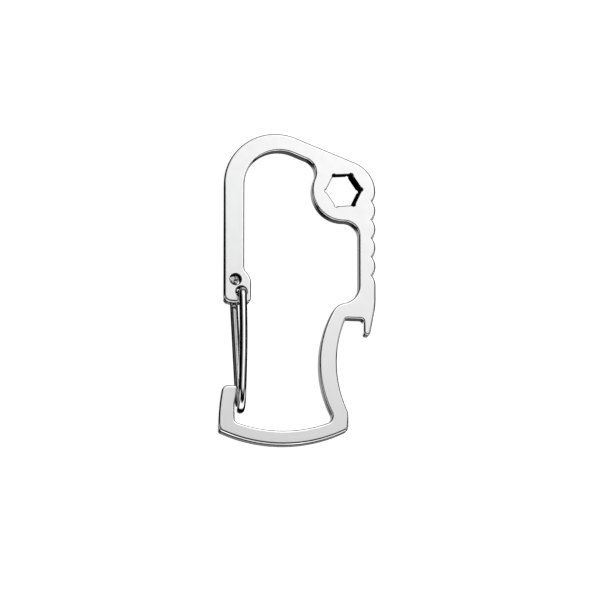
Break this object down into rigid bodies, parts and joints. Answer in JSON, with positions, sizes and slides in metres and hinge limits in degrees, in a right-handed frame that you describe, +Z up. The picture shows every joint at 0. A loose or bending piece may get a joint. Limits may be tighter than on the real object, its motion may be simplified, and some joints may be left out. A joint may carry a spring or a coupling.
{
  "type": "carabiner keyring",
  "caption": "Flat steel carabiner with a sprung wire gate, a hexagonal bit socket, a finger grip and a bottle opener hook.",
  "frame": {"origin": "middle of the carabiner's length and width, at the lowest point of the gate wire under the plate", "axes": "+Z up through the plate's thickness, +Y along the length towards the arch, +X across towards the finger grip"},
  "size_m": [0.0322, 0.0644, 0.0069],
  "materials": {
    "plate_steel": "fine satin faces with polished rounded edges",
    "wire_steel": "bright drawn spring wire"
  },
  "bodies": {
    "frame": {"frame": "plate_steel"},
    "gate_front": {"gate_front": "wire_steel"},
    "gate_back": {"gate_back": "wire_steel"}
  },
  "joints": [
    {"name": "gate_swing", "type": "hinge", "parent": "frame", "child": "gate_front", "pos_m": [-0.01133, -0.001, 0.00344], "axis": [0, 0, 1], "range_deg": [0, 33], "stiffness_Nm_per_rad": 0.05, "springref_deg": -17.19},
    {"name": "gate_flex", "type": "hinge", "parent": "gate_front", "child": "gate_back", "pos_m": [-0.01133, -0.0252, 0.00344], "axis": [0, 0, 1], "range_deg": [-4, 0]}
  ],
  "couplings": [
    {"joint": "gate_flex", "follows": "gate_swing", "ratio": -0.1}
  ]
}
